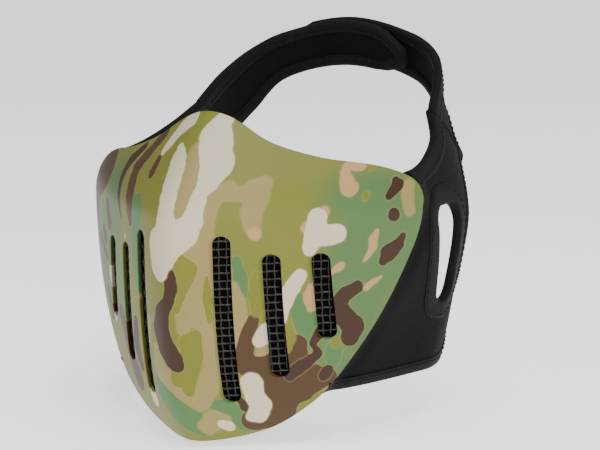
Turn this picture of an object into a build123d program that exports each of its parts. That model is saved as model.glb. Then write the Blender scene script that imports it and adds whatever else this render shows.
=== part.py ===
from build123d import *
import math
import os

os.makedirs("parts", exist_ok=True)

# Frame: millimetres, the mask faces -Y, +Z is up and +X is the wearer's left.
# The origin is midway between the two ear openings.

# ---------------------------------------------------------------- driving dimensions
shell_wall = 2.6            # face shell, measured front to back
mesh_wall = 0.8             # woven wire panel
fabric = 3.0                # foam rubber sheet
liner_wall = 3.9            # the same sheet on the sloping cheek, measured front to back
layer_gap = 0.3             # clearance between neighbouring layers

ridge_front = -122.6        # y of the nose ridge where it stands furthest forward
cheek_slope = 0.85          # how fast the cheeks run back from the ridge
ridge_round = 7.0           # softness of the ridge
cheek_curl = 8.5            # extra run-back at the rear corner
cheek_reach = 80.0          # half width at which cheek_curl applies

slot_width = 7.0
# each breathing slot: half width position and height of its top and bottom end centres
slot_ends = [
    ((20.5, 10.5), (20.9, -58.0)),
    ((36.6, 2.0), (37.8, -47.5)),
    ((52.7, 1.5), (54.2, -31.5)),
]
mesh_margin = 6.0
window_margin = 2.0

panel_half_width = 85.0     # x of the side panel at its widest
panel_wide_z = 8.0          # height at which it is widest
panel_wide_y = -12.0        # and how far back
binding_width = 8.0
binding_skin = 0.6
seam_gap = 0.3

tape_ease = 0.06            # slack between a strap and the tape folded over its edge
strap_shift = 2.7           # how far each strap lies from the middle of the closure
patch_skin = 1.0
# places along the strap loop, from 0 at the left seam through 0.5 at the back to 1 at the right
peel_at = 0.28
inner_tip_at = 0.31
patch_start_at = 0.35
patch_end_at = 0.63
outer_tip_at = 0.64
station_step = 0.04


# ---------------------------------------------------------------- surfaces
def ridge_y(z):
    """Front-to-back place of the nose ridge at height z: brow, bridge, muzzle and chin."""
    above = 1.2 * max(z - 18, 0)
    below = max(10 - z, 0)
    brow = math.hypot(above, 20) - 20
    chin = 0.00147 * below**2 + 19.9 * (below / 100) ** 7.5
    return ridge_front + brow + chin


def shell_y(x, z):
    """Outer surface of the face shell: a rounded keel whose cheeks run back."""
    keel = math.hypot(cheek_slope * x, ridge_round) - ridge_round
    return ridge_y(z) + keel + cheek_curl * (x / cheek_reach) ** 4


def side_x(y, z):
    """Outer surface of the left side panel, which bulges at the ear and leans in above it."""
    above = max(z - panel_wide_z, 0)
    below = max(panel_wide_z - z, 0)
    widest = panel_half_width - 0.046 * above**1.6 - 0.054 * below**1.3
    ahead = max(0.03 + 0.002 * (below - above), 0) * max(panel_wide_y - y, 0) ** 1.2
    behind = (0.008 - 0.00014 * above) * max(y - panel_wide_y, 0) ** 2
    return widest - ahead - behind


def steps(low, high, count):
    """Evenly spaced values from low to high, both included."""
    return [low + (high - low) * i / (count - 1) for i in range(count)]


front_face = Face.make_surface_from_array_of_points(
    [[Vector(x, shell_y(x, z), z) for z in steps(-86, 68, 45)] for x in steps(-90, 90, 61)],
    tol=0.05,
)
side_face = Face.make_surface_from_array_of_points(
    [[Vector(side_x(y, z), y, z) for z in steps(-66, 64, 31)] for y in steps(-84, 44, 31)],
    tol=0.05,
)


def front_layer(start, wall):
    """Solid that follows the front surface, from start to start + wall behind it."""
    return extrude(Pos(0, start, 0) * front_face, amount=wall, dir=(0, 1, 0))


def side_layer(start, wall):
    """Solid that follows the left side surface, from start to start + wall inside it."""
    return extrude(Pos(-start, 0, 0) * side_face, amount=wall, dir=(-1, 0, 0))


def front_prism(sketch):
    return extrude(Plane.XZ * sketch, amount=150, both=True)


def side_prism(sketch):
    return extrude(Plane.YZ * sketch, amount=150)


def right_of(solid):
    return mirror(solid, about=Plane.YZ)


# ---------------------------------------------------------------- outlines seen from the front
def shell_half():
    """Peaked nose, brow dipping to the cheek, rounded rear corner, jaw running in to the chin."""
    brow = Spline(
        [(0, 62), (11, 59.3), (28, 49.5), (47, 43), (66, 39), (77, 34.3)],
        tangents=[(1, 0), (1, -0.6)],
    )
    corner = Spline([(77, 34.3), (82, 29), (83.8, 21)], tangents=[(1, -0.6), (0, -1)])
    jaw = Spline(
        [(83.8, 21), (80.8, 3.5), (70, -26), (56, -51), (45.5, -63.5), (28, -75), (0, -80)],
        tangents=[(0, -1), (-1, 0)],
    )
    return make_face(brow + corner + jaw + Line((0, -80), (0, 62)))


def slot_outline(ends, width):
    (top, bottom) = ends
    path = Line(top, bottom)
    return Pos(*(path @ 0.5)) * Rot(0, 0, path.tangent_angle_at(0)) * SlotOverall(
        path.length + width, width
    )


def all_slots(width):
    shapes = [slot_outline(ends, width) for ends in slot_ends]
    return Sketch() + shapes


def mesh_outline():
    """Rounded panel just larger than the three slots of one cheek."""
    inner, middle, outer = slot_ends
    reach = mesh_margin + slot_width / 2
    corners = [
        (inner[0][0] - reach, inner[0][1] + reach),
        (middle[0][0], middle[0][1] + reach),
        (outer[0][0] + reach, outer[0][1] + reach),
        (outer[1][0] + reach, outer[1][1] - reach),
        (middle[1][0], middle[1][1] - reach),
        (inner[1][0] - reach, inner[1][1] - reach),
    ]
    face = make_face(Polyline(*corners, close=True))
    return fillet(face.vertices(), mesh_margin)


# ---------------------------------------------------------------- outlines seen from the side
top_edge = [(-39, 35.5), (-20, 39), (0, 46.6), (14, 57)]
strap_seam_low = (36, 33)
rear_edge = [strap_seam_low, (22, 20), (13, 6), (12, -10), (25, -23), (31, -37), (25, -51), (8, -59)]
hem_front = (-68, -59)
fold_top = (-39, 21)
ear_corners = [(-34, 19), (-20, -27), (-6, -27), (-7, 19)]
ear_corner_round = 7.5


def panel_outline():
    """Side panel: cheek edge, top edge, strap seam, band behind the ear, nape lobe, hem."""
    top = Spline(top_edge)
    seam = Line(top_edge[-1], strap_seam_low)
    rear = Spline(rear_edge, tangents=[(-1, -1), (-1, 0)])
    hem = Line(rear_edge[-1], hem_front)
    front = Polyline(hem_front, fold_top, top_edge[0])
    return make_face(top + seam + rear + hem + front)


def ear_outline(grow=0.0):
    face = make_face(Polyline(*ear_corners, close=True))
    opening = fillet(face.vertices(), ear_corner_round)
    return offset(opening, amount=grow) if grow else opening


# ---------------------------------------------------------------- bindings of the side panels
panel_wall = 3.2            # the fabric on the leaning panel, measured left to right
top_line = Spline(top_edge)
rear_line = Spline(rear_edge, tangents=[(-1, -1), (-1, 0)])
hem_line = Line(rear_edge[-1], hem_front)


def channel(band, panel):
    """Folded tape: a slightly thicker skin over the band, hollowed by the panel it grips."""
    return (side_layer(-binding_skin, panel_wall + 2 * binding_skin) & band) - panel


def edge_band(line, samples=13):
    """Prism over the strip inside one edge of the panel; the panel lies right of the line."""
    rim = []
    inside = []
    for at in steps(0, 1, samples):
        along = line % at
        outward = Vector(-along.Y, along.X)
        rim.append(line @ at + outward * binding_skin)
        inside.append(line @ at - outward * binding_width)
    ends = Line(rim[-1], inside[-1]) + Line(inside[0], rim[0])
    return side_prism(make_face(Spline(rim) + Spline(inside) + ends))


def ear_band():
    return side_prism(ear_outline(binding_width)) - side_prism(ear_outline())


# ---------------------------------------------------------------- straps
def with_mirrored(points):
    return points + [(-x, y, z) for x, y, z in reversed(points[:-1])]


strap_top = Spline(with_mirrored(
    [(61, 14.5, 57.3), (57, 28, 69), (49, 40, 79.5), (34, 47.5, 88), (0, 52, 95)]
))
strap_low = Spline(with_mirrored(
    [(66.5, 36.5, 33.3), (60, 42, 39), (53, 46, 48), (36, 53, 66), (0, 57, 74)]
))


def strap_frame(at):
    """Top and low edge points of the strap loop at one place, with its outward direction."""
    top = strap_top @ at
    low = strap_low @ at
    outward = (low - top).cross(strap_top % at).normalized()
    return top, low, outward


def overlap_shift(at):
    """How far apart the straps lie: nothing at the seams, full over the closure."""
    rise = min(max((0.5 - abs(at - 0.5)) / 0.26, 0), 1)
    return strap_shift * rise * rise * (3 - 2 * rise)


def stations(start, end):
    """The two ends and every shared station between them, so that neighbours stay parallel."""
    shared = [n * station_step for n in range(1, round(1 / station_step))]
    return [start] + [at for at in shared if start + 0.005 < at < end - 0.005] + [end]


def slab(start, end, side, lift, thickness, trim):
    """Strip of the strap loop, lifted off the closure's middle; side is +1 outside, -1 inside."""
    sections = []
    for at in stations(start, end):
        top, low, outward = strap_frame(at)
        down = (low - top).normalized()
        upper = top + down * trim
        lower = low - down * trim
        middle = outward * (side * (overlap_shift(at) + lift))
        half = outward * (thickness / 2)
        corners = [upper + middle + half, lower + middle + half]
        corners += [lower + middle - half, upper + middle - half]
        sections.append(make_face(Polyline(*corners, close=True)))
    return loft(sections, ruled=True)


def edge_channels(start, end, side):
    """Folded tape on both long edges of a strap, as two U-shaped strips."""
    strips = []
    for edge in (0, 1):
        sections = []
        for at in stations(start, end):
            ends = strap_frame(at)
            outward = ends[2]
            inward = (ends[1 - edge] - ends[edge]).normalized()
            rim = ends[edge] + outward * (side * overlap_shift(at))
            deep = inward * binding_width
            bottom = inward * (binding_skin - tape_ease)
            narrow = outward * (fabric / 2 + tape_ease)
            wide = narrow + outward * binding_skin
            corners = [rim + wide, rim + deep + wide, rim + deep + narrow, rim + bottom + narrow]
            corners += [rim + bottom - narrow, rim + deep - narrow, rim + deep - wide, rim - wide]
            sections.append(make_face(Polyline(*corners, close=True)))
        strips.append(loft(sections, ruled=True))
    return Compound(children=strips)


# ---------------------------------------------------------------- parts
def build_front():
    parts = {}
    half = front_prism(shell_half()) - front_prism(all_slots(slot_width))
    parts["face_shell"] = front_layer(0, shell_wall) & (half + right_of(half))

    mesh_start = shell_wall + layer_gap
    mesh = front_layer(mesh_start, mesh_wall) & front_prism(mesh_outline())
    parts["left_mesh_panel"] = mesh
    parts["right_mesh_panel"] = right_of(mesh)

    liner_start = mesh_start + mesh_wall + layer_gap
    smaller = Pos(seam_gap / 2, 0) * scale(shell_half(), by=(0.95, 0.94, 1))
    windows = all_slots(slot_width + 2 * window_margin)
    liner = front_layer(liner_start, liner_wall) & (front_prism(smaller) - front_prism(windows))
    parts["left_liner"] = liner
    parts["right_liner"] = right_of(liner)

    tape_start = liner_start + liner_wall + layer_gap
    tape = RectangleRounded(14, 96, 3)
    parts["centre_seam_tape"] = front_layer(tape_start, 1.0) & front_prism(Pos(0, -22) * tape)
    pad = RectangleRounded(44, 22, 8)
    parts["nose_pad"] = front_layer(tape_start, 7.0) & front_prism(Pos(0, 40) * pad)
    return parts


def build_sides():
    cut = side_prism(panel_outline()) - side_prism(ear_outline(binding_skin))
    panel = side_layer(0, panel_wall) & cut
    left = {
        "side_panel": panel,
        "ear_binding": channel(ear_band(), panel),
        "top_binding": channel(edge_band(top_line), panel),
        "rear_binding": channel(edge_band(rear_line), panel),
        "hem_binding": channel(edge_band(hem_line, samples=2), panel),
    }
    parts = {"left_" + name: solid for name, solid in left.items()}
    parts.update({"right_" + name: right_of(solid) for name, solid in left.items()})
    return parts


def build_straps():
    tab_start = peel_at + 0.002
    lift = -fabric / 2 - patch_skin / 2 - 0.05
    inset = binding_width + 0.5
    return {
        "left_strap": slab(0, peel_at, 1, 0, fabric, binding_skin),
        "left_strap_binding": edge_channels(0, peel_at, 1),
        "left_strap_tab": slab(tab_start, outer_tip_at, 1, 0, fabric, binding_skin),
        "tab_binding": edge_channels(tab_start, outer_tip_at, 1),
        "hook_patch": slab(patch_start_at, patch_end_at, 1, lift, patch_skin, inset),
        "right_strap": slab(inner_tip_at, 1, -1, 0, fabric, binding_skin),
        "right_strap_binding": edge_channels(inner_tip_at, 1, -1),
        "loop_patch": slab(patch_start_at, patch_end_at, -1, lift, patch_skin, inset),
    }


for name, part in {**build_front(), **build_sides(), **build_straps()}.items():
    export_step(part, f"parts/{name}.step")
    print(name, round(part.volume), "mm3")
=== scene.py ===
# %% [markdown]
# # A camouflage half-face mask
# The mask is a moulded shell over woven wire, sewn to soft foam rubber panels that close behind
# the head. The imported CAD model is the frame: it gives the size and place of every piece, and the
# pieces modelled here stand in its place. All shapes are worked out in millimetres and turned
# to metres when a mesh is made.

# %% Load the frame
import math

import bmesh
import bpy
import numpy as np
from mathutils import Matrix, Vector
from mathutils.geometry import delaunay_2d_cdt


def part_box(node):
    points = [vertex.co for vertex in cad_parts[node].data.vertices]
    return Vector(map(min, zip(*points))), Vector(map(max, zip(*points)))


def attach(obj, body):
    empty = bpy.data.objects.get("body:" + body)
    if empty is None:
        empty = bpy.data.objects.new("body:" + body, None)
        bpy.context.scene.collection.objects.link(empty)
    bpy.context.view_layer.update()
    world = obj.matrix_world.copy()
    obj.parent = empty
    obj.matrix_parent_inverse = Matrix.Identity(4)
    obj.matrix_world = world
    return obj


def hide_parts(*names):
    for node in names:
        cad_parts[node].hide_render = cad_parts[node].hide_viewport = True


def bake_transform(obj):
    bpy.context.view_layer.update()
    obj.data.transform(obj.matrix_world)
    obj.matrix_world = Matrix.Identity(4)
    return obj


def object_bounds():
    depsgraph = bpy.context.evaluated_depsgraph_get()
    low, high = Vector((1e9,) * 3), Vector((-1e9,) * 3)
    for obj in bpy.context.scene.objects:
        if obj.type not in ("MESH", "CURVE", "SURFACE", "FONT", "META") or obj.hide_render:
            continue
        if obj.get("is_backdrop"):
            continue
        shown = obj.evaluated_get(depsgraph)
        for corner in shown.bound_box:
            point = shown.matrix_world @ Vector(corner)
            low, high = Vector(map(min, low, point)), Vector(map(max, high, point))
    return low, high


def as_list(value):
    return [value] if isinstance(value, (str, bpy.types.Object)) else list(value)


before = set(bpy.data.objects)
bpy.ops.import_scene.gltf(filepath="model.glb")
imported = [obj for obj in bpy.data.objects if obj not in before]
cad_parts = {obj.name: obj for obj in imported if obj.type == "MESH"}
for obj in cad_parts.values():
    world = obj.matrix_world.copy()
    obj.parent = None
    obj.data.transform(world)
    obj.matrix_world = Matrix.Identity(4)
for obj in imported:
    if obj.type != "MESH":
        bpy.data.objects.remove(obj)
cad_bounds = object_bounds()
MM = 0.001

# %% [markdown]
# ## The two guiding surfaces
# A moulded shell is one smooth surface, so it is best described by a formula: a rounded keel for
# the nose whose cheeks run back. Sculpting it by hand would leave bumps that the satin print would
# show. The side panels follow a second formula, a wall that bulges at the ear.

# %% Guiding surfaces
ridge_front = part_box("face_shell")[0].y / MM
cheek_slope = 0.85
ridge_round = 7.0


def ridge_y(z):
    """How far forward the nose ridge stands at height z."""
    above = 1.2 * np.maximum(z - 18, 0)
    below = np.maximum(10 - z, 0)
    chin = 0.00147 * below**2 + 19.9 * (below / 100) ** 7.5
    return ridge_front + np.hypot(above, 20) - 20 + chin


def shell_y(x, z):
    """Outer surface of the face shell."""
    keel = np.hypot(cheek_slope * x, ridge_round) - ridge_round
    return ridge_y(z) + keel + 8.5 * (x / 80) ** 4


def side_x(y, z):
    """Outer surface of the left side panel."""
    above = np.maximum(z - 8, 0)
    below = np.maximum(8 - z, 0)
    widest = 85 - 0.046 * above**1.6 - 0.054 * below**1.3
    ahead = np.maximum(0.03 + 0.002 * (below - above), 0) * np.maximum(-12 - y, 0) ** 1.2
    behind = (0.008 - 0.00014 * above) * np.maximum(y + 12, 0) ** 2
    return widest - ahead - behind


print("ridge stands at", round(ridge_front, 1), "mm")

# %% [markdown]
# ## Smooth outlines
# A pattern maker draws an outline as a few points joined by a fair curve. The same is done here:
# each outline is a short list of points, and one function runs a smooth curve through them.


# %% Curves through a few points
def fair(points, closed=False, step=2.0):
    """Points about step mm apart on a smooth curve through the given points."""
    points = np.array(points, float)
    count = len(points)
    if closed:
        points = np.vstack([points[-1], points, points[0], points[1]])
    else:
        points = np.vstack([2 * points[0] - points[1], points, 2 * points[-1] - points[-2]])
    line = []
    for i in range(1, count + 1 if closed else count):
        before, a, b, after = points[i - 1 : i + 3]
        span = np.linalg.norm(b - a)
        tangent_a = (b - before) * span / (span + np.linalg.norm(a - before))
        tangent_b = (after - a) * span / (span + np.linalg.norm(after - b))
        for t in np.arange(0, 1, 1 / max(round(span / step), 1)):
            line.append(
                (2 * t**3 - 3 * t**2 + 1) * a
                + (t**3 - 2 * t**2 + t) * tangent_a
                + (3 * t**2 - 2 * t**3) * b
                + (t**3 - t**2) * tangent_b
            )
    if not closed:
        line.append(points[-2])
    return np.array(line)


def straight(a, b, step=2.0):
    """Points on a straight run, without its last one."""
    count = max(round(math.dist(a, b) / step), 1)
    return np.array([np.array(a) + (np.array(b) - a) * i / count for i in range(count)])


brow = [(0, 62), (11, 59.3), (28, 49.5), (47, 43), (66, 39), (77, 34.3), (82, 29), (83.8, 21)]
jaw = [(80.8, 3.5), (70, -26), (56, -51), (45.5, -63.5), (28, -75), (0, -80)]
half_outline = brow + jaw
whole_outline = half_outline + [(-x, z) for x, z in half_outline[-2:0:-1]]
rim = fair(whole_outline, closed=True, step=1.0)
widest = rim[:, 0].argmax()
lowest = rim[:, 1].argmin()
half_width = rim[widest, 0]


def top_z(x):
    return np.interp(np.abs(x), rim[: widest + 1, 0], rim[: widest + 1, 1])


def low_z(x):
    return np.interp(np.abs(x), rim[widest : lowest + 1, 0][::-1], rim[widest : lowest + 1, 1][::-1])


print("shell half width", round(half_width, 1), "mm")


# %% Small helpers for meshes
def only(piece):
    """Make one piece the selected and active one."""
    bpy.ops.object.select_all(action="DESELECT")
    piece.select_set(True)
    bpy.context.view_layer.objects.active = piece


def mesh_piece(name, points, faces):
    """A new piece from points in mm and its faces."""
    mesh = bpy.data.meshes.new(name)
    mesh.from_pydata([Vector(p) * MM for p in points], [], [tuple(map(int, f)) for f in faces])
    mesh.validate()
    piece = bpy.data.objects.new(name, mesh)
    bpy.context.scene.collection.objects.link(piece)
    return piece


def apply(piece, kind, **settings):
    """Add one modifier with its settings and apply it."""
    only(piece)
    modifier = piece.modifiers.new(kind.title(), kind)
    for key, value in settings.items():
        setattr(modifier, key, value)
    bpy.ops.object.modifier_apply(modifier=modifier.name)


def smooth(piece, angle=40):
    only(piece)
    bpy.ops.object.shade_smooth_by_angle(angle=math.radians(angle))


def points_of(piece):
    """The piece's vertices in mm."""
    co = np.zeros(len(piece.data.vertices) * 3, np.float32)
    piece.data.vertices.foreach_get("co", co)
    return co.reshape(-1, 3).astype(float) / MM


def set_points(piece, points):
    piece.data.vertices.foreach_set("co", (np.asarray(points) * MM).astype(np.float32).ravel())
    piece.data.update()


# %% [markdown]
# ## Materials
# Each finish is built from what the real one is. Colours are given as the sRGB hex values that a
# paint or cloth supplier would list, and one function turns them to the linear values that the
# renderer works in. Another adds one node with its settings and links.


# %% Colour and node helpers
def paint(code):
    """sRGB hex to linear RGBA."""
    values = [int(code[i : i + 2], 16) / 255 for i in (1, 3, 5)]
    return [v / 12.92 if v < 0.04045 else ((v + 0.055) / 1.055) ** 2.4 for v in values] + [1]


def node(tree, kind, settings=None, **inputs):
    """Add a node; settings go on the node, inputs on its sockets as values or links."""
    made = tree.nodes.new(kind)
    for key, value in (settings or {}).items():
        setattr(made, key, value)
    for key, value in inputs.items():
        socket = made.inputs[int(key[1:]) if key[0] == "_" else key.replace("_", " ")]
        if isinstance(value, bpy.types.NodeSocket):
            tree.links.new(value, socket)
        else:
            socket.default_value = value
    return made


def new_material(name, **finish):
    """A material with its Principled shader; finish holds the constant socket values."""
    material = bpy.data.materials.new(name)
    material.use_nodes = True
    tree = material.node_tree
    shader = tree.nodes["Principled BSDF"]
    for key, value in finish.items():
        shader.inputs[key.replace("_", " ")].default_value = value
    where = node(tree, "ShaderNodeTexCoord").outputs["Object"]
    return material, tree, shader, where


def per_mm(size):
    """Texture scale that gives features of this size in mm on metre coordinates."""
    return 1 / (size * MM)


def wave_per_mm(size):
    """Wave texture scale that gives bands of this size in mm."""
    return 2 * math.pi / 20 / (size * MM)


def blend_colours(tree, factor, a, b):
    mixed = node(tree, "ShaderNodeMix", {"data_type": "RGBA"}, _0=factor, _6=a, _7=b)
    return mixed.outputs[2]


def bump(tree, shader, height, strength, depth_mm):
    made = node(tree, "ShaderNodeBump", None, Strength=strength, Distance=depth_mm * MM, Height=height)
    tree.links.new(made.outputs["Normal"], shader.inputs["Normal"])


# %% [markdown]
# The panels are foam rubber faced with a knitted jersey. The knit gives fine courses and a soft
# sheen at grazing angles, so it is a wave for the courses, crossed by a second for the wales. The
# real courses are 0.5 mm apart and would vanish, so they are drawn at 1.1 mm.


# %% Knitted face on foam rubber
def jersey(name, colour, shade):
    material, tree, shader, where = new_material(
        name, Roughness=0.85, Sheen_Weight=0.02, Sheen_Roughness=0.5, Specular_IOR_Level=0.07
    )
    courses = node(
        tree, "ShaderNodeTexWave", {"bands_direction": "Z"}, Vector=where, Scale=wave_per_mm(1.1),
        Distortion=1.2, Detail=1.0, Detail_Scale=3.0,
    )
    wales = node(
        tree, "ShaderNodeTexWave", {"bands_direction": "Y"}, Vector=where, Scale=wave_per_mm(0.9),
        Distortion=1.2, Detail=1.0, Detail_Scale=3.0,
    )
    knit = node(
        tree, "ShaderNodeMath", {"operation": "MULTIPLY"}, _0=courses.outputs["Fac"],
        _1=wales.outputs["Fac"],
    )
    dust = node(tree, "ShaderNodeTexNoise", None, Vector=where, Scale=per_mm(18), Detail=4.0)
    tone = blend_colours(tree, dust.outputs["Fac"], paint(colour), paint(shade))
    tree.links.new(tone, shader.inputs["Base Color"])
    bump(tree, shader, knit.outputs[0], 0.55, 0.25)
    return material


foam_rubber = jersey("foam_rubber_jersey", "#0A0A0B", "#111113")
screen_cloth = jersey("breathing_screen", "#060607", "#0B0B0C")
lining = jersey("foam_rubber_lining", "#0C0C0D", "#131315")

# %% [markdown]
# The edges are bound with grosgrain tape: ribs of thick weft 0.9 mm apart across the tape.


# %% Grosgrain tape, thread, wire, hook and loop
def ribbed(name, colour, shade, rib):
    material, tree, shader, where = new_material(
        name, Roughness=0.72, Sheen_Weight=0.02, Sheen_Roughness=0.4, Specular_IOR_Level=0.12
    )
    ribs = node(
        tree, "ShaderNodeTexWave", {"bands_direction": "DIAGONAL"}, Vector=where,
        Scale=wave_per_mm(rib), Distortion=0.6, Detail=2.0,
    )
    worn = node(tree, "ShaderNodeTexNoise", None, Vector=where, Scale=per_mm(9), Detail=5.0)
    tone = blend_colours(tree, worn.outputs["Fac"], paint(colour), paint(shade))
    tree.links.new(tone, shader.inputs["Base Color"])
    bump(tree, shader, ribs.outputs["Fac"], 0.5, 0.3)
    return material


tape_cloth = ribbed("grosgrain_tape", "#0A0A0B", "#121214", 0.9)
thread = ribbed("polyester_thread", "#101012", "#1A1A1D", 0.5)


def grainy(name, colour, shade, grain, rough, depth, **finish):
    """A surface whose relief is fine random grain."""
    material, tree, shader, where = new_material(name, Roughness=rough, **finish)
    grit = node(tree, "ShaderNodeTexNoise", None, Vector=where, Scale=per_mm(grain), Detail=3.0)
    tone = blend_colours(tree, grit.outputs["Fac"], paint(colour), paint(shade))
    tree.links.new(tone, shader.inputs["Base Color"])
    bump(tree, shader, grit.outputs["Fac"], 0.7, depth)
    return material


wire_coat = grainy("black_coated_steel_wire", "#15150F", "#3C3B36", 1.5, 0.3, 0.05, Metallic=0.85)
hooks = grainy("moulded_nylon_hooks", "#0A0A0C", "#19191C", 0.8, 0.6, 0.8)
loops = grainy("brushed_nylon_loops", "#0E0E10", "#18181B", 1.2, 0.95, 0.9, Sheen_Weight=0.05)
pad_foam = grainy("open_cell_foam", "#121214", "#1C1C1F", 1.0, 0.95, 0.5)
print("materials ready")

# %% [markdown]
# ## The printed camouflage
# The print is dipped on: flat colours with crisp, softly wobbling edges, laid one over another. An
# image would blur and is not wanted here. Each colour is a family of blobs instead, a blob being a
# chain of circles with fair sides. A circle is (girth, z, radius) in mm, girth being the distance
# from the ridge along the surface, positive on the wearer's left. For every point of the shell the
# script works out how far it is inside each family, and the material turns that into an edge.

# %% Blob families, from the lowest layer to the top one
green_wash = [
    [(78, 27, 12), (92, 25, 14), (104, 18, 14), (100, 2, 14), (88, -12, 12), (80, -32, 12)],
    [(84, 10, 15), (68, -44, 8), (74, -46, 10)],
    [(-64, 26, 12), (-64, 2, 12), (-60, -20, 11), (-46, -40, 8)],
    [(-90, 10, 12), (-86, -16, 12)],
]
green = [
    [(29.5, 2, 2), (31.3, -6, 3), (33, -12.3, 1.5)],
    [(54.7, -16.5, 4), (57.4, -22, 5), (59, -31, 4), (60, -36, 2.5)],
    [(70.6, -39, 4), (69.3, -44, 3)],
    [(-13, -52, 3), (-8, -58.5, 6), (0, -66, 6), (6, -70.5, 6)],
    [(15.5, -62.5, 4), (20.6, -62, 3.5), (24, -66, 4), (26.3, -71.5, 4)],
    [(-28, 20.5, 7), (-29, 12, 5), (-30, 0, 5), (-26, -12, 4)],
]
khaki = [
    [(3, 47, 3), (4.5, 40, 5), (5, 33, 5), (5, 26, 4.5), (4.5, 20, 3)],
    [(19.5, 29.5, 4), (23, 31, 4), (28, 29.5, 3), (33.5, 30.5, 4.5), (38, 32.5, 4)],
    [(33.5, 30.5, 4.5), (37.5, 28, 5), (36, 23, 5), (36.5, 17.5, 3.8), (37.5, 13, 2.8)],
    [(19.5, 29.5, 4), (17.5, 25, 4), (17, 17.5, 3.5), (15.6, 9.5, 4.5), (13.6, 4.5, 5)],
    [(8.2, 3.5, 2.2), (13.6, 4.5, 5), (17.5, 0, 4), (15.6, -8, 4.5), (11.7, -15.5, 5)],
    [(11.7, -15.5, 5), (6.8, -21, 4), (6.2, -27, 2.8)],
    [(6.8, -21, 4), (13, -21, 5.5), (16.8, -25, 5), (17.4, -35, 3.5), (16.8, -45, 4)],
    [(16.8, -45, 4), (13.6, -53.5, 5), (9.6, -60, 4), (4, -56.5, 3.5), (-2, -51, 4)],
    [(-2, -51, 4), (-9, -46.5, 5), (-10, -38.5, 4)],
    [(27.7, -9, 2.5), (29.6, -16, 3.5), (29.6, -24, 4), (28.3, -32, 3.5), (28, -39, 2)],
    [(39.4, -39.5, 4)],
    [(-17, -26, 2.5), (-19, -35, 2.5)],
    [(14, -68, 4.5), (18, -68.5, 3), (9.6, -72, 4)],
    [(104, 30, 3), (107, 20, 2.5)],
]
mid_brown = [
    [(36, -23.5, 2.5), (33.5, -30, 3.5), (31, -39, 4), (32.6, -44.5, 5), (41.4, -47, 7)],
    [(41.4, -47, 7), (49.6, -40, 5), (54, -36, 5), (56, -41, 3)],
    [(41.4, -47, 7), (45, -56, 9), (53.4, -54, 8), (61, -51, 6), (67, -51, 4)],
    [(45, -56, 9), (40.7, -65, 9), (30, -70, 5)],
    [(-26, 51.5, 2.5), (-32, 45.5, 3), (-42.5, 35.5, 4), (-40, 27, 5), (-37.5, 19.5, 4)],
    [(-37.5, 19.5, 4), (-36, 14, 2)],
    [(-20.8, 41, 2.5), (-22, 36.5, 3)],
    [(-86, 31, 10), (-104, 22, 9), (-106, 12, 7)],
    [(-74, 15.5, 4), (-71, 9, 4)],
    [(-93, -1, 3), (-78, -8, 2.5)],
    [(-56, -30, 4), (-48, -44, 5), (-40, -58, 6)],
    [(-80, -24, 3), (-74, -34, 4)],
]
olive_pool = [
    [(5, 2, 3.5), (9.7, -0.5, 3.5), (6.3, -6.5, 4), (4.5, -13.5, 2.5), (3, -18.8, 1.5)],
    [(6.8, -32, 3), (10.8, -30, 3), (8.5, -38, 5), (6.3, -45, 5), (2, -49, 4)],
    [(6.3, -45, 5), (5.7, -54.5, 2.5)],
    [(17, -4, 0.8), (16.5, -14, 2), (17.5, -24, 0.8)],
    [(38, -5, 2), (37, -12, 2.8), (37.5, -20, 2.5)],
    [(51, -27.5, 1.8), (52, -32.5, 2), (50.4, -38, 1.2)],
    [(71.7, -36, 2.5)],
    [(84, 39, 2)],
    [(85, 27, 2)],
]
peach = [
    [(37.4, 13.5, 2.7)],
    [(67.7, 21.5, 2.3), (59.3, 14.8, 2)],
    [(71.8, 39, 2), (72.8, 35.4, 2.3), (75.6, 31.3, 3.3), (77.7, 30, 3.2)],
    [(73.5, 39.3, 1.5), (79.5, 38.4, 1.5)],
    [(91.5, 11.8, 1), (89.8, 8.5, 2), (89.8, 5, 1.8), (87.6, 1.7, 1.2), (85.8, -0.5, 0.6)],
    [(61.3, -10.5, 1.5), (60.2, -15, 2.2), (61, -20, 1.8)],
    [(71, -4.5, 1), (73.5, -3.3, 1.6), (75.6, -2, 1.4)],
    [(86.3, -12.3, 1.3), (90, -10, 1.3), (93.8, -8, 0.5)],
    [(-44, 6.5, 1.5)],
    [(-26, -17.5, 1.5)],
    [(-62, -8, 1.5), (-66, -14, 2)],
]
dark_brown = [
    [(1, -4, 3), (1.5, -9.5, 3), (0, -15, 2.8), (-4.4, -20.5, 4.4), (-5.8, -27.8, 5.4)],
    [(-5.8, -27.8, 5.4), (-3.5, -35, 5.2), (0, -40, 4.8), (1.6, -42.5, 3.6)],
    [(97, 33, 1.6), (98.8, 30.3, 3), (96.4, 26.8, 2)],
    [(99.5, 18.5, 3)],
    [(104, 9, 1.4), (101.6, 5.3, 2.8), (97, 2, 3.8), (94.7, -0.8, 2.3)],
    [(82.5, -11.7, 2.7), (77, -14.5, 3.3), (72.5, -20, 4), (75.6, -24, 4.8), (80, -29, 5)],
    [(80, -29, 5), (78, -34, 4)],
    [(72.5, -20, 4), (63.9, -31.5, 2.5), (61, -36, 1.3), (63.6, -40, 1.8), (58.8, -43.5, 2.3)],
    [(58.8, -43.5, 2.3), (53.8, -46.5, 3), (49.6, -49.8, 2.3)],
    [(67, -48, 2.5), (65, -50.5, 2.3)],
    [(28.3, -63, 2.3), (26.8, -59.5, 1.5)],
    [(-42.5, 45, 1.5), (-54.5, 37, 3), (-57, 31.5, 3), (-56, 25, 2.3), (-52, 18, 1.3)],
    [(-52, 18, 1.3), (-49, 13.5, 0.8)],
    [(-34, -30, 3), (-36, -40, 4), (-32, -50, 3)],
    [(-84, 4, 2.5), (-80, 0, 3)],
]
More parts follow.
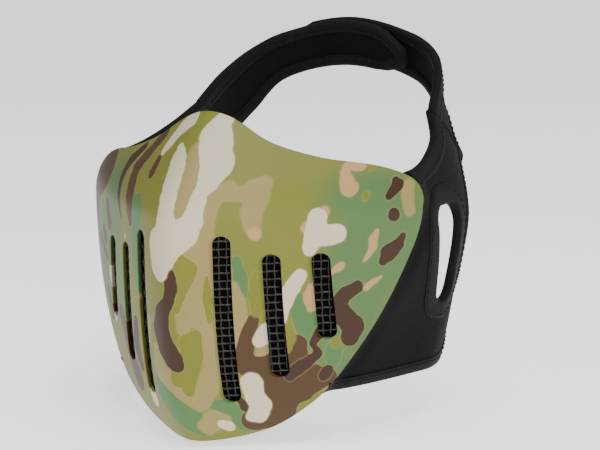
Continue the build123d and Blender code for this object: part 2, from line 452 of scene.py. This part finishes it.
cream = [
    [(8.5, 58, 4.5), (7.5, 53.5, 6), (10, 49.5, 6.5), (13, 44.5, 6.3), (15, 40, 7)],
    [(15, 40, 7), (14.3, 35, 5), (12.3, 30.3, 3.3), (11.8, 24.8, 3.8), (11.3, 19.3, 4.5)],
    [(11.3, 19.3, 4.5), (7, 13.5, 6.5), (0, 10.5, 7.5), (-3.5, 5, 8), (-4.8, 0, 5.5)],
    [(-4.8, 0, 5.5), (-4, -3, 4)],
    [(-6, 47, 2.2), (-4.5, 43.5, 4.2), (-3, 39.6, 4.6), (-2, 34, 4.3), (-1.5, 28.5, 4.2)],
    [(-1.5, 28.5, 4.2), (-1, 23, 4), (-0.8, 18, 5), (0, 10.5, 7.5), (-5, 9, 7)],
    [(-7, 58.5, 3.3), (-12.5, 54.5, 3.3), (-16, 49.5, 3), (-19.5, 45, 2)],
    [(64.7, 19, 4.2), (64, 13, 5), (61.3, 6, 3.3)],
    [(64, 13, 5), (68.4, 11.2, 4.8), (73.5, 11.8, 4.2)],
    [(57, -5.5, 3), (52.4, -11.5, 3.6), (50, -19.5, 2), (49.3, -25, 1)],
    [(40.7, -28.5, 2.8), (38.2, -33, 3.2)],
    [(40.7, -28.5, 2.8), (43, -30.5, 2.5)],
    [(33, -52, 5), (33.5, -58, 4.5), (35.8, -62.3, 4.5), (33, -66.8, 4.2), (29.6, -68.3, 2.2)],
    [(16.8, -71, 2.5), (19, -72, 2.6)],
    [(-72, -14, 3), (-66, -24, 4), (-68, -34, 2.5)],
    [(-24, -56, 3), (-22, -64, 3.5)],
]
layers = {
    "green_wash": green_wash,
    "green": green,
    "khaki": khaki,
    "mid_brown": mid_brown,
    "olive_pool": olive_pool,
    "peach": peach,
    "dark_brown": dark_brown,
    "cream": cream,
}
reach = np.linspace(0, 90, 181)
steepness = (shell_y(reach + 0.1, 0.0) - shell_y(reach - 0.1, 0.0)) / 0.2
girth = np.concatenate([[0], np.cumsum(np.hypot(1, steepness[1:]) * np.diff(reach))])


def inside_distance(points, blobs):
    """Distance in mm inside (positive) or outside each family of blobs."""
    x = np.sign(points[:, 0]) * np.interp(np.abs(points[:, 0]), reach, girth)
    z = points[:, 2]
    best = np.full(len(points), -50.0)
    for chain in blobs:
        chain = chain if len(chain) > 1 else chain * 2
        blob = np.full(len(points), -50.0)
        for (ax, az, ar), (bx, bz, br) in zip(chain, chain[1:]):
            length = max(math.hypot(bx - ax, bz - az), 0.01)
            along = ((x - ax) * (bx - ax) + (z - az) * (bz - az)) / length**2
            along = np.clip(along, 0, 1)
            gap = np.hypot(x - ax - along * (bx - ax), z - az - along * (bz - az))
            blob = np.maximum(blob, ar + (br - ar) * along - gap)
        soft = np.clip(0.5 + (best - blob) / 2.4, 0, 1)
        best = blob * (1 - soft) + best * soft + 0.6 * soft * (1 - soft)
    return best


def print_camo(piece):
    """Store the distance into each colour as an attribute of the mesh."""
    points = points_of(piece)
    for name, blobs in layers.items():
        attribute = piece.data.attributes.new(name, "FLOAT", "POINT")
        attribute.data.foreach_set("value", inside_distance(points, blobs).astype(np.float32))


print("camouflage has", sum(len(blobs) for blobs in layers.values()), "blobs")

# %% [markdown]
# The print sits under a satin lacquer on moulded plastic. The edge of each colour wobbles by a
# fraction of a millimetre and carries a hairline of lighter ink, and the ground drifts from olive
# to green, as on the real dip.

# %% Dipped print under satin lacquer
inks = {
    "green_wash": "#748E64",
    "green": "#6F8F64",
    "khaki": "#A89D70",
    "mid_brown": "#6C5740",
    "olive_pool": "#8F9049",
    "peach": "#C2A57D",
    "dark_brown": "#5F493C",
    "cream": "#D3CAB5",
}
ground_ink = "#8F9150"
outline_ink = "#B5AE7A"
print_depth = 1.5  # ink soaks in under lacquer: a power above 1 deepens a colour


def soaked(code, depth=print_depth):
    """The ink's colour as it looks in the print."""
    return [channel**depth for channel in paint(code)[:3]] + [1]


lacquer, tree, shader, where = new_material(
    "dip_printed_abs", Roughness=0.46, Coat_Weight=0.04, Coat_Roughness=0.25, Specular_IOR_Level=0.16
)
drift = node(tree, "ShaderNodeTexNoise", None, Vector=where, Scale=per_mm(35), Detail=2.0)
wobble = node(tree, "ShaderNodeTexNoise", None, Vector=where, Scale=per_mm(4), Detail=2.0)
shift = node(
    tree, "ShaderNodeMapRange", None, Value=wobble.outputs["Fac"], _3=-0.7, _4=0.7
).outputs[0]
worn_depth = print_depth - 0.12
colour = blend_colours(
    tree, drift.outputs["Fac"], soaked(ground_ink), soaked(ground_ink, worn_depth)
)
for name, ink in inks.items():
    stored = node(tree, "ShaderNodeAttribute", {"attribute_name": name}).outputs["Fac"]
    moved = node(tree, "ShaderNodeMath", {"operation": "ADD"}, _0=stored, _1=shift).outputs[0]
    soft = 7.0 if name == "green_wash" else 0.15
    body = node(tree, "ShaderNodeMapRange", None, Value=moved, _1=-soft, _2=soft).outputs[0]
    line = node(tree, "ShaderNodeMapRange", None, Value=moved, _1=-0.7, _2=-0.35).outputs[0]
    hairline = node(tree, "ShaderNodeMath", {"operation": "MULTIPLY"}, _0=line, _1=0.22).outputs[0]
    tone = blend_colours(tree, drift.outputs["Fac"], soaked(ink), soaked(ink, worn_depth))
    if name != "green_wash":
        colour = blend_colours(tree, hairline, colour, soaked(outline_ink))
    colour = blend_colours(tree, body, colour, tone)
tree.links.new(colour, shader.inputs["Base Color"])
peel = node(tree, "ShaderNodeTexNoise", None, Vector=where, Scale=per_mm(1.2), Detail=2.0)
bump(tree, shader, peel.outputs["Fac"], 0.12, 0.05)

# %% [markdown]
# ## The face shell
# A flat grid is laid out between the brow line and the jaw line and pressed on to the guiding
# surface, which keeps every edge clean. It gets its wall from Solidify, soft edges from Bevel, and
# its six slots from cutters that are wider at the top, so the rims come out rounded.

# %% Press the shell
bpy.ops.object.select_all(action="DESELECT")
bpy.ops.mesh.primitive_grid_add(x_subdivisions=240, y_subdivisions=124, size=2)
shell_wall = 2.0
rim_round = 0.5
shell = bpy.context.object
shell.name = "face_shell_skin"
flat = points_of(shell) * MM
press_x = 0.998 * half_width * np.sin(flat[:, 0] * math.pi / 2)
press_z = low_z(press_x) + (top_z(press_x) - low_z(press_x)) * (flat[:, 1] + 1) / 2
set_points(shell, np.stack([press_x, shell_y(press_x, press_z), press_z], 1))
if sum(polygon.normal.y for polygon in shell.data.polygons) > 0:
    shell.data.flip_normals()
apply(shell, "SOLIDIFY", thickness=shell_wall * MM, offset=-1)
apply(
    shell, "BEVEL", width=rim_round * MM, segments=2, limit_method="ANGLE",
    angle_limit=math.radians(50),
)
print("shell faces before the slots:", len(shell.data.polygons))

# %% Cut the slots
slot_radius = 3.4
slot_ends = [
    ((19.3, 9.2), (19.7, -57.0)),
    ((35.6, 0.8), (36.8, -46.5)),
    ((51.6, 0.3), (53.1, -30.5)),
]


def stadium(top, low, radius, step=2.0):
    """Closed loop round a slot, from its two end centres."""
    top, low = np.array(top), np.array(low)
    along = (top - low) / np.linalg.norm(top - low)
    side = np.array([along[1], -along[0]])
    turn = np.linspace(0, math.pi, 13)
    over = [top + radius * (math.cos(t) * side + math.sin(t) * along) for t in turn]
    under = [low - radius * (math.cos(t) * side + math.sin(t) * along) for t in turn]
    left = straight(over[-1], under[0], step)[1:]
    right = straight(under[-1], over[0], step)[1:]
    return np.array(over + list(left) + under + list(right))


def slot_cutter(top, low, mirror):
    """Closed cutter whose mouth flares a little."""
    profile = [(-2.0, 1.2), (-0.25, 0.5), (0.1, 0.2), (0.5, 0.0), (5.0, 0.0)]
    points = []
    for depth, flare in profile:
        loop = stadium(top, low, slot_radius + flare)
        loop[:, 0] *= mirror
        points += [(x, shell_y(x, z) + depth, z) for x, z in loop]
    count = len(points) // len(profile)
    faces = []
    for ring in range(len(profile) - 1):
        for i in range(count):
            j = (i + 1) % count
            base = ring * count
            faces.append((base + i, base + j, base + count + j, base + count + i))
    faces.append(range(count))
    faces.append(range(len(points) - count, len(points)))
    cutter = mesh_piece("slot_cutter", points, faces)
    solid = bmesh.new()
    solid.from_mesh(cutter.data)
    bmesh.ops.triangulate(solid, faces=[f for f in solid.faces if len(f.verts) > 4])
    bmesh.ops.recalc_face_normals(solid, faces=solid.faces)
    solid.to_mesh(cutter.data)
    solid.free()
    return cutter


for top, low in slot_ends:
    for mirror in (1, -1):
        cutter = slot_cutter(top, low, mirror)
        apply(shell, "BOOLEAN", operation="DIFFERENCE", solver="EXACT", object=cutter)
        bpy.data.objects.remove(cutter)
print_camo(shell)
smooth(shell, 35)
shell.data.materials.clear()
shell.data.materials.append(lacquer)
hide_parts("face_shell")
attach(shell, "mask")
print("shell faces:", len(shell.data.polygons))

# %% [markdown]
# ## Sheets, folded tape and thread
# Everything else is sheet goods: foam rubber, liner and tape. Each is cut flat, so each is drawn as
# a flat outline and then laid on its surface. The outline is filled with small triangles, which
# follow any curve, and the sheet's two faces are joined round its edges. Modelling the sheets from
# boxes would not follow the ear opening and the scalloped back edge.


# %% Fill an outline with a fine mesh
def within(points, loop):
    """True for each point that lies inside a closed loop."""
    hit = np.zeros(len(points), bool)
    for (ax, ay), (bx, by) in zip(loop, np.roll(loop, -1, axis=0)):
        crosses = (ay > points[:, 1]) != (by > points[:, 1])
        rise = (by - ay) or 1.0
        hit ^= crosses & (points[:, 0] < (bx - ax) * (points[:, 1] - ay) / rise + ax)
    return hit


def filled(outline, holes, step):
    """Points and triangles that fill an outline round its holes."""
    loops = [np.array(loop, float) for loop in (outline, *holes)]
    spans = [np.arange(low, high, step) for low, high in zip(loops[0].min(0), loops[0].max(0))]
    grid = np.stack(np.meshgrid(*spans), -1).reshape(-1, 2)
    for loop in loops:
        grid = grid[np.linalg.norm(grid[:, None] - loop[None], axis=2).min(1) > 0.6 * step]
    edges = []
    start = 0
    for loop in loops:
        edges += [(start + i, start + (i + 1) % len(loop)) for i in range(len(loop))]
        start += len(loop)
    corners = [Vector(p) for p in np.vstack([*loops, grid])]
    made, _, faces, *_ = delaunay_2d_cdt(corners, edges, [], 0, 0.0001)
    points = np.array([tuple(p) for p in made])
    faces = np.array([tuple(face) for face in faces])
    middles = points[faces].mean(1)
    keep = within(middles, loops[0])
    for hole in loops[1:]:
        keep &= ~within(middles, hole)
    return points, faces[keep]


def outwards(piece):
    solid = bmesh.new()
    solid.from_mesh(piece.data)
    bmesh.ops.recalc_face_normals(solid, faces=solid.faces)
    solid.to_mesh(piece.data)
    solid.free()


def sheet_of(name, outline, holes, place, near, far, step=2.5):
    """Closed sheet between two depths; place(a, b, depth) lays flat points on a surface."""
    flat, faces = filled(outline, holes, step)
    count = len(flat)
    points = np.vstack([place(flat[:, 0], flat[:, 1], depth) for depth in (near, far)])
    sides = {(a, b) for face in faces for a, b in zip(face, np.roll(face, -1))}
    border = [(b, a, a + count, b + count) for a, b in sorted(sides) if (b, a) not in sides]
    piece = mesh_piece(name, points, [*faces, *(faces[:, ::-1] + count), *border])
    outwards(piece)
    smooth(piece)
    return piece


# %% Tape folded over an edge
def inwards(edge, closed):
    """Unit direction into the cloth at each point of an edge, which has the cloth on its right."""
    if closed:
        along = np.roll(edge, -1, axis=0) - np.roll(edge, 1, axis=0)
    else:
        along = np.gradient(edge, axis=0)
    side = np.stack([along[:, 1], -along[:, 0]], 1)
    return side / np.linalg.norm(side, axis=1)[:, None]


def folded_tape(name, edge, closed, place, width, cloth=3.0):
    """Tape with rounded fold and lips, wrapped over the edge of a cloth this thick."""
    upper = [(width, -0.3), (width, 0.4), (width - 0.6, 0.6), (width / 2, 0.66), (0.8, 0.64)]
    upper += [(0.1, 0.5), (-0.5, -0.1), (-0.75, -0.8)]
    section = upper + [(inset, -cloth - lift) for inset, lift in upper[::-1]]
    edge = np.array(edge, float)
    side = inwards(edge, closed)
    rings = []
    for inset, lift in section:
        laid = edge + side * inset
        rings.append(place(laid[:, 0], laid[:, 1], -lift))
    rings = np.stack(rings, 1)
    count = len(section)
    faces = []
    for i in range(len(edge) if closed else len(edge) - 1):
        here = i * count
        there = (i + 1) % len(edge) * count
        for k in range(count):
            after = (k + 1) % count
            faces.append((here + k, here + after, there + after, there + k))
    if not closed:
        faces.append(range(count))
        faces.append(range((len(edge) - 1) * count, len(edge) * count))
    piece = mesh_piece(name, rings.reshape(-1, 3), faces)
    outwards(piece)
    smooth(piece, 60)
    return piece


# %% Thread and wire, from many short lines
def strands(name, lines, radius, sides=0):
    """One mesh of round strands that follow the given lines."""
    curve = bpy.data.curves.new(name, "CURVE")
    curve.dimensions = "3D"
    curve.bevel_depth = radius * MM
    curve.bevel_resolution = sides
    curve.use_fill_caps = True
    for line in lines:
        spline = curve.splines.new("POLY")
        spline.points.add(len(line) - 1)
        for point, spot in zip(spline.points, line):
            point.co = (*(Vector(spot) * MM), 1)
    piece = bpy.data.objects.new(name, curve)
    bpy.context.scene.collection.objects.link(piece)
    only(piece)
    bpy.ops.object.convert(target="MESH")
    piece = bpy.context.object
    smooth(piece, 60)
    return piece


def stitch_row(edge, place, inset, lift, closed=False, length=2.3, pitch=3.3, zigzag=0.0):
    """Lines of one row of stitches, this far in from an edge and above the cloth's face."""
    edge = np.array(edge, float)
    side = inwards(edge, closed)
    high = place(*(edge + side * inset).T, -lift)
    low = place(*(edge + side * (inset + zigzag)).T, 0.25 - lift)
    along = np.concatenate([[0], np.cumsum(np.linalg.norm(np.diff(high, axis=0), axis=1))])
    lines = []
    for begin in np.arange(pitch / 2, along[-1] - length, pitch):
        places = [(begin, low), (begin + 0.5, high), (begin + length - 0.5, high), (begin + length, low)]
        lines.append([[np.interp(s, along, row[:, k]) for k in range(3)] for s, row in places])
    return lines


def dress(piece, material, slot, *nodes):
    """Give a piece its material and let it stand for its CAD nodes; slot is not used."""
    piece.data.materials.clear()
    piece.data.materials.append(material)
    if nodes:
        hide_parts(*nodes)
    return piece


# %% [markdown]
# ## Woven wire behind the slots
# Steel wire woven over and under on a 3.4 mm pitch and coated black. Each wire is one line with a
# small crimp at every crossing, and all the wires of a side become one mesh.

# %% Weave the wire
wire_pitch = 3.4
wire_radius = 0.42
wire_depth = 3.3


def wire_line(sites, phase):
    """Crimped wire through (x, z) sites that lie half a pitch apart."""
    count = np.arange(len(sites))
    crimp = wire_radius * np.sin(math.pi * (count / 2 + 0.5 + phase))
    x, z = np.array(sites).T
    return np.stack([x, shell_y(x, z) + wire_depth + crimp, z], 1)


def wire_side(mirror):
    lines = []
    for k in range(1, 29):
        x = np.interp(k * wire_pitch, girth, reach)
        sites = np.arange(round(low_z(x) + 7), round(top_z(x) - 6), wire_pitch / 2)
        lines.append(wire_line([(mirror * x, z) for z in sites], k))
    for k in range(-20, 15):
        z = k * wire_pitch
        sites = np.interp(np.arange(0.4, 112, wire_pitch / 2), girth, reach)
        sites = [x for x in sites if low_z(x) + 6 < z < top_z(x) - 6 and x < half_width - 5]
        lines.append(wire_line([(mirror * x, z) for x in sites], k + 1))
    return [line for line in lines if len(line) > 3]


for side_name, mirror in (("left", 1), ("right", -1)):
    woven = strands(f"{side_name}_wire_weave", wire_side(mirror), wire_radius, 1)
    dress(woven, wire_coat, "wire_mesh", f"{side_name}_mesh_panel")
    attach(woven, "mask")
    print(woven.name, len(woven.data.polygons), "faces")

# %% [markdown]
# ## Liner and nose pad
# Two halves of foam rubber line the shell, with a window behind each slot, and a tape is sewn over
# their seam. A soft pad sits across the bridge of the nose. Cloth pressure would round the pad too,
# but a dome whose height follows the distance from its edge gives the same form at once.


# %% Sew the liner
def behind_shell(x, z, depth):
    return np.stack([x, shell_y(x, z) + depth, z], 1)


liner_near = 4.0
liner_far = 7.9
window_margin = 2.0
screen_near = 6.4
screen_far = 6.8
liner_edge = fair(half_outline, step=2.0) * (0.95, 0.94)
liner_edge[:, 0] = np.maximum(liner_edge[:, 0], 0.15)
centre_run = straight(liner_edge[-1], liner_edge[0])[1:]
windows = [stadium(top, low, slot_radius + window_margin) for top, low in slot_ends]
for side_name, mirror in (("left", 1), ("right", -1)):
    flip = np.array([mirror, 1])
    outline = np.vstack([liner_edge, centre_run]) * flip
    holes = [window * flip for window in windows]
    liner = sheet_of(f"{side_name}_liner_sheet", outline, holes, behind_shell, liner_near, liner_far)
    dress(liner, lining, "foam_rubber_sheet", f"{side_name}_liner")
    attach(liner, "mask")
    seams = []
    for hole in [*holes, liner_edge * flip]:
        turn = hole[::mirror]
        seams += stitch_row(turn, behind_shell, 3.0, -liner_far - 0.12)
    sewn = strands(f"{side_name}_liner_stitches", seams, 0.3)
    dress(sewn, thread, "binding_tape")
    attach(sewn, "mask")

# A thin dark cloth closes each window, which is why nothing shows through the slots.
for side_name, mirror in (("left", 1), ("right", -1)):
    for number, (top, low) in enumerate(slot_ends, 1):
        outline = stadium(top, low, slot_radius + window_margin + 0.3) * (mirror, 1)
        name = f"{side_name}_screen_{number}"
        screen = sheet_of(name, outline, [], behind_shell, screen_near, screen_far)
        dress(screen, screen_cloth, "foam_rubber_sheet")
        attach(screen, "mask")

tape_edge = straight((5.5, 24), (5.5, -68), 1.0)
zigzags = []
for inset in (1.5, 9.5):
    zigzags += stitch_row(
        tape_edge, behind_shell, inset, -9.35, length=2.6, pitch=2.8, zigzag=1.6
    )
centre_seam_stitches = strands("centre_seam_stitches", zigzags, 0.3)
dress(centre_seam_stitches, thread, "binding_tape")
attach(centre_seam_stitches, "mask")
print("liner halves are", liner_far - liner_near, "mm deep")


# %% Puff the nose pad
def rounded(corners, radius, step=1.5):
    """Closed loop through corners, each turned with a fillet of this radius."""
    loop = []
    corners = np.array(corners, float)
    for before, corner, after in zip(np.roll(corners, 1, 0), corners, np.roll(corners, -1, 0)):
        u = (before - corner) / np.linalg.norm(before - corner)
        v = (after - corner) / np.linalg.norm(after - corner)
        half = math.acos(np.clip(u @ v, -1, 1)) / 2
        start = corner + u * radius / math.tan(half)
        end = corner + v * radius / math.tan(half)
        centre = corner + (u + v) / np.linalg.norm(u + v) * radius / math.sin(half)
        for t in np.linspace(0, 1, 7):
            spoke = start * (1 - t) + end * t - centre
            loop.append(centre + spoke / np.linalg.norm(spoke) * radius)
    dense = []
    for a, b in zip(loop, np.roll(loop, -1, 0)):
        dense += list(straight(a, b, step))
    return np.array(dense)


pad_loop = rounded([(22, 51), (-22, 51), (-22, 29), (22, 29)], 8)


pad_near = 8.2
pad_rise = 5.8


def pad_place(x, z, depth):
    """Front of the pad at depth 0, its domed back at depth 1."""
    spots = np.stack([x, z], 1)
    edge_gap = np.linalg.norm(spots[:, None] - pad_loop[None], axis=2).min(1)
    dome = np.sqrt(1 - np.clip(1 - edge_gap / 8, 0, 1) ** 2)
    return np.stack([x, shell_y(x, z) + pad_near + depth * (1.0 + pad_rise * dome), z], 1)


pad = sheet_of("nose_pad_foam", pad_loop, [], pad_place, 0.0, 1.0, 1.6)
smooth(pad, 80)
dress(pad, pad_foam, "pad_foam", "nose_pad")
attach(pad, "mask")
print("nose pad faces:", len(pad.data.polygons))

# %% [markdown]
# ## Side panels
# Each panel is one piece of foam rubber that starts behind the shell's rim, runs back round the ear
# and ends in a lobe at the nape. Its front stays with the shell and the rest follows the side wall,
# so it bends over a strip just behind the rim. Real panels are never quite flat, so a soft wave is
# added.

# %% Where the panel lies
corner_start = np.abs(rim[: widest + 1] - (77, 34.3)).sum(1).argmin()
rear_rim = rim[corner_start : lowest + 1][::-1]
ear_corners = [(-34, 19), (-20, -27), (-6, -27), (-7, 19)]
rear_points = [(36, 33), (22, 20), (13, 6), (12, -10), (25, -23), (31, -37), (25, -51), (8, -59)]


def panel_x(y, z):
    """Outer face of the left panel, drawn in behind the rim at its front."""
    rim_x = np.interp(z, rear_rim[:, 1], rear_rim[:, 0])
    rim_y = shell_y(rim_x, np.minimum(z, 34)) + 1.2
    free_y = -33 - 29 * np.clip((21 - z) / 80, 0, 1.2)
    tuck = np.clip((free_y - y) / (free_y - rim_y), 0, 1)
    tuck = tuck * tuck * (3 - 2 * tuck)
    wave = 0.5 * np.sin(z / 11 + y / 19) * np.sin(y / 13 - z / 23) * (1 - tuck)
    return (side_x(y, z) + wave) * (1 - tuck) + (rim_x - 0.8) * tuck


def on_side(mirror):
    def place(y, z, depth):
        x = panel_x(y, z)
        slope_y = (panel_x(y + 0.5, z) - panel_x(y - 0.5, z))
        slope_z = (panel_x(y, z + 0.5) - panel_x(y, z - 0.5))
        size = np.sqrt(1 + slope_y**2 + slope_z**2)
        x, y, z = x - depth / size, y + slope_y * depth / size, z + slope_z * depth / size
        return np.stack([mirror * x, y, z], 1)

    return place


front_z = np.arange(-59, 35, 2.0)
front_x = np.interp(front_z, rear_rim[:, 1], rear_rim[:, 0])
front_edge = np.stack([shell_y(front_x, front_z) + 1.2, front_z], 1)
top_edge = fair([front_edge[-1] + (0.5, 1.6), (-39, 35.5), (-20, 39), (0, 46.6), (14, 57)])
seam_edge = straight((14, 57), (36, 33))[1:]
rear_edge = fair(rear_points)
hem_edge = straight((8, -59), front_edge[0])
panel_loop = np.vstack([front_edge, top_edge, seam_edge, rear_edge[:-1], hem_edge])
ear_loop = rounded(ear_corners, 7.5)
hem_run = np.vstack([hem_edge, front_edge[:1]])
seam_run = np.vstack([straight((14, 57), (36, 33), 1.0), [(36, 33)]])
print("panel outline has", len(panel_loop), "points")

# %% Cut, bind and sew both sides
bindings = [
    ("top", top_edge, False, 6.5),
    ("rear", rear_edge, False, 7.0),
    ("hem", hem_run, False, 5.0),
    ("ear", ear_loop, True, 8.0),
]
for side_name, mirror in (("left", 1), ("right", -1)):
    place = on_side(mirror)
    panel = sheet_of(f"{side_name}_panel_sheet", panel_loop, [ear_loop], place, 0.0, 3.0)
    dress(panel, foam_rubber, "foam_rubber_sheet", f"{side_name}_side_panel")
    pieces = [panel]
    seams = []
    for part, edge, closed, width in bindings:
        tape = folded_tape(f"{side_name}_{part}_tape", edge, closed, place, width)
        pieces.append(dress(tape, tape_cloth, "binding_tape", f"{side_name}_{part}_binding"))
        for lift in (0.76, -3.76):
            seams += stitch_row(edge, place, width - 1.6, lift, closed)
    seams += stitch_row(seam_run, place, 1.0, 0.15, length=2.6, pitch=2.8, zigzag=2.2)
    sewn = strands(f"{side_name}_panel_stitches", seams, 0.3)
    pieces.append(dress(sewn, thread, "binding_tape"))
    for piece in pieces:
        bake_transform(piece)
    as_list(pieces[1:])
    print(side_name, "side:", [piece.name for piece in pieces])

# %% [markdown]
# ## Closing strap
# Two straps meet behind the crown. The left one laps outside and peels off its hook and loop
# patches, so it is one strip that bends where the tab starts. Both are laid on a ruled band between
# a top and a low edge line.

# %% The strap band
half_top = [(61, 14.5, 57.3), (57, 28, 69), (49, 40, 79.5), (34, 47.5, 88), (0, 52, 95)]
half_low = [(66.5, 36.5, 33.3), (60, 42, 39), (53, 46, 48), (36, 53, 66), (0, 57, 74)]
strap_length = 160.0
strap_lift = 2.7


def whole_loop(half):
    line = fair(half + [(-x, y, z) for x, y, z in half[-2::-1]], step=1.0)
    along = np.concatenate([[0], np.cumsum(np.linalg.norm(np.diff(line, axis=0), axis=1))])
    return line, along / along[-1]


top_line, top_share = whole_loop(half_top)
low_line, low_share = whole_loop(half_low)


def strap_frame(at):
    """Top point, low point and outward direction of the band at each share of its length."""
    top = np.stack([np.interp(at, top_share, top_line[:, k]) for k in range(3)], 1)
    low = np.stack([np.interp(at, low_share, low_line[:, k]) for k in range(3)], 1)
    slopes = np.gradient(top_line, top_share, axis=0)
    along = np.stack([np.interp(at, top_share, slopes[:, k]) for k in range(3)], 1)
    out = np.cross(low - top, along)
    return top, low, out / np.linalg.norm(out, axis=1)[:, None]


def on_strap(side):
    """Lay flat points on the strap; side is 1 for the outer strap and -1 for the inner one."""

    def place(a, b, depth):
        at = np.clip(a / strap_length, 0, 1)
        top, low, out = strap_frame(at)
        beyond = strap_frame(np.clip(at, 0.01, 0.99))[0] - top
        beyond *= np.where(a < 0, a, strap_length - a)[:, None] / (0.01 * strap_length)
        beyond[(a >= 0) & (a <= strap_length)] = 0
        top, low = top + beyond, low + beyond
        rise = np.clip((0.5 - np.abs(at - 0.5)) / 0.26, 0, 1)
        lift = side * strap_lift * rise * rise * (3 - 2 * rise) + 1.5 - depth
        return top + (low - top) * b[:, None] / 24 + out * lift[:, None]

    return place


# %% Both straps
outer_tip = 0.64 * strap_length
inner_tip = 0.31 * strap_length
peel_along = 0.28 * strap_length
outer_top = [*straight((-3, 0), (outer_tip - 5, 0)), (outer_tip - 5, 0), (outer_tip - 1.5, 1.5)]
outer_low = [(outer_tip - 1.5, 22.5), *straight((outer_tip - 5, 24), (-3, 24)), (-3, 24)]
outer_end = [(outer_tip, 5), *straight((outer_tip, 7), (outer_tip, 19)), (outer_tip, 19)]
outer_edge = np.array(outer_top + outer_end + outer_low)[::-1]
inner_top = [(inner_tip + 9, 1.5), *straight((inner_tip + 14, 0), (strap_length + 3, 0))]
inner_top += [(strap_length + 3, 0)]
inner_low = [*straight((strap_length + 3, 24), (inner_tip + 14, 24)), (inner_tip + 9, 22.5)]
inner_end = [(inner_tip, 17), (inner_tip - 1, 12), (inner_tip, 7)]
inner_edge = np.array(inner_low + inner_end + inner_top)[::-1]
peel_points = on_strap(1)(np.array([peel_along - 9, peel_along + 9]), np.array([12.0, 12.0]), 1.5)
straps = [
    ("left", 1, outer_edge, ("left_strap", "left_strap_tab"), ("left_strap_binding", "tab_binding")),
    ("right", -1, inner_edge, ("right_strap",), ("right_strap_binding",)),
]
for side_name, side, edge, cloth_nodes, tape_nodes in straps:
    place = on_strap(side)
    strap = sheet_of(f"{side_name}_strap_sheet", edge, [], place, 0.15, 2.85)
    dress(strap, foam_rubber, "foam_rubber_sheet", *cloth_nodes)
    tape = folded_tape(f"{side_name}_strap_tape", edge, False, place, 5.5)
    dress(tape, tape_cloth, "binding_tape", *tape_nodes)
    seams = stitch_row(edge, place, 4.0, 0.76) + stitch_row(edge, place, 4.0, -3.76)
    sewn = strands(f"{side_name}_strap_stitches", seams, 0.3)
    dress(sewn, thread, "binding_tape")
    for piece in (strap, tape, sewn):
        if side > 0:
            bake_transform(piece)
        else:
            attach(piece, "right_wing")
print("strap is", round(strap_length), "mm along its top edge")

# %% Finish the CAD nodes that stay
for name, material in (("hook_patch", hooks), ("loop_patch", loops), ("centre_seam_tape", tape_cloth)):
    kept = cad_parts[name]
    kept.data.materials.clear()
    kept.data.materials.append(material)

# %% [markdown]
# ## Floor, light and camera
# A pale floor and three large soft lamps, as in a light tent: a broad top light draws the satin
# line down the ridge, a side lamp shapes the cheek, and a front lamp opens up the dark cloth.

# %% Floor and light
bpy.ops.object.select_all(action="DESELECT")
bpy.ops.mesh.primitive_plane_add(size=12, location=(0, 0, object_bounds()[0].z - 0.002))
floor = bpy.context.object
floor.name = "studio_floor"
paper, _, shader, _ = new_material("matt_paper", Roughness=0.9)
shader.inputs["Base Color"].default_value = paint("#F6F6F6")
shader.inputs["Emission Color"].default_value = paint("#FFFFFF")
shader.inputs["Emission Strength"].default_value = 1.1
floor.data.materials.append(paper)
floor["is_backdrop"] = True


def lamp(name, spot, size, power):
    bpy.ops.object.light_add(type="AREA", location=spot)
    made = bpy.context.object
    made.name = name
    made.data.size = size
    made.data.energy = power
    made.rotation_euler = (-Vector(spot)).to_track_quat("-Z", "Y").to_euler()


lamp("top_lamp", (0.35, -0.35, 1.2), 0.8, 15)
lamp("side_lamp", (1.0, -1.2, 0.5), 0.7, 13)
lamp("front_lamp", (-1.0, -1.2, 0.5), 1.2, 1)
world = bpy.data.worlds.new("light_tent")
bpy.context.scene.world = world
world.use_nodes = True
world.node_tree.nodes["Background"].inputs["Color"].default_value = (1, 1, 1, 1)
world.node_tree.nodes["Background"].inputs["Strength"].default_value = 0.32

# %% Camera
azimuth = math.radians(27)
elevation = math.radians(9.2)
distance = 0.857143
toward = Vector((
    math.sin(azimuth) * math.cos(elevation),
    -math.cos(azimuth) * math.cos(elevation),
    math.sin(elevation),
))
bpy.ops.object.camera_add(location=toward * distance)
camera = bpy.context.object
camera.rotation_euler = toward.to_track_quat("Z", "Y").to_euler()
camera.data.lens = 108
bpy.context.scene.camera = camera

# %% Print the sizes and finish
new_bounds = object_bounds()
sizes = {"cad": [list(c) for c in cad_bounds], "visual": [list(c) for c in new_bounds]}
print("CAD box", sizes["cad"], "visual box", sizes["visual"])
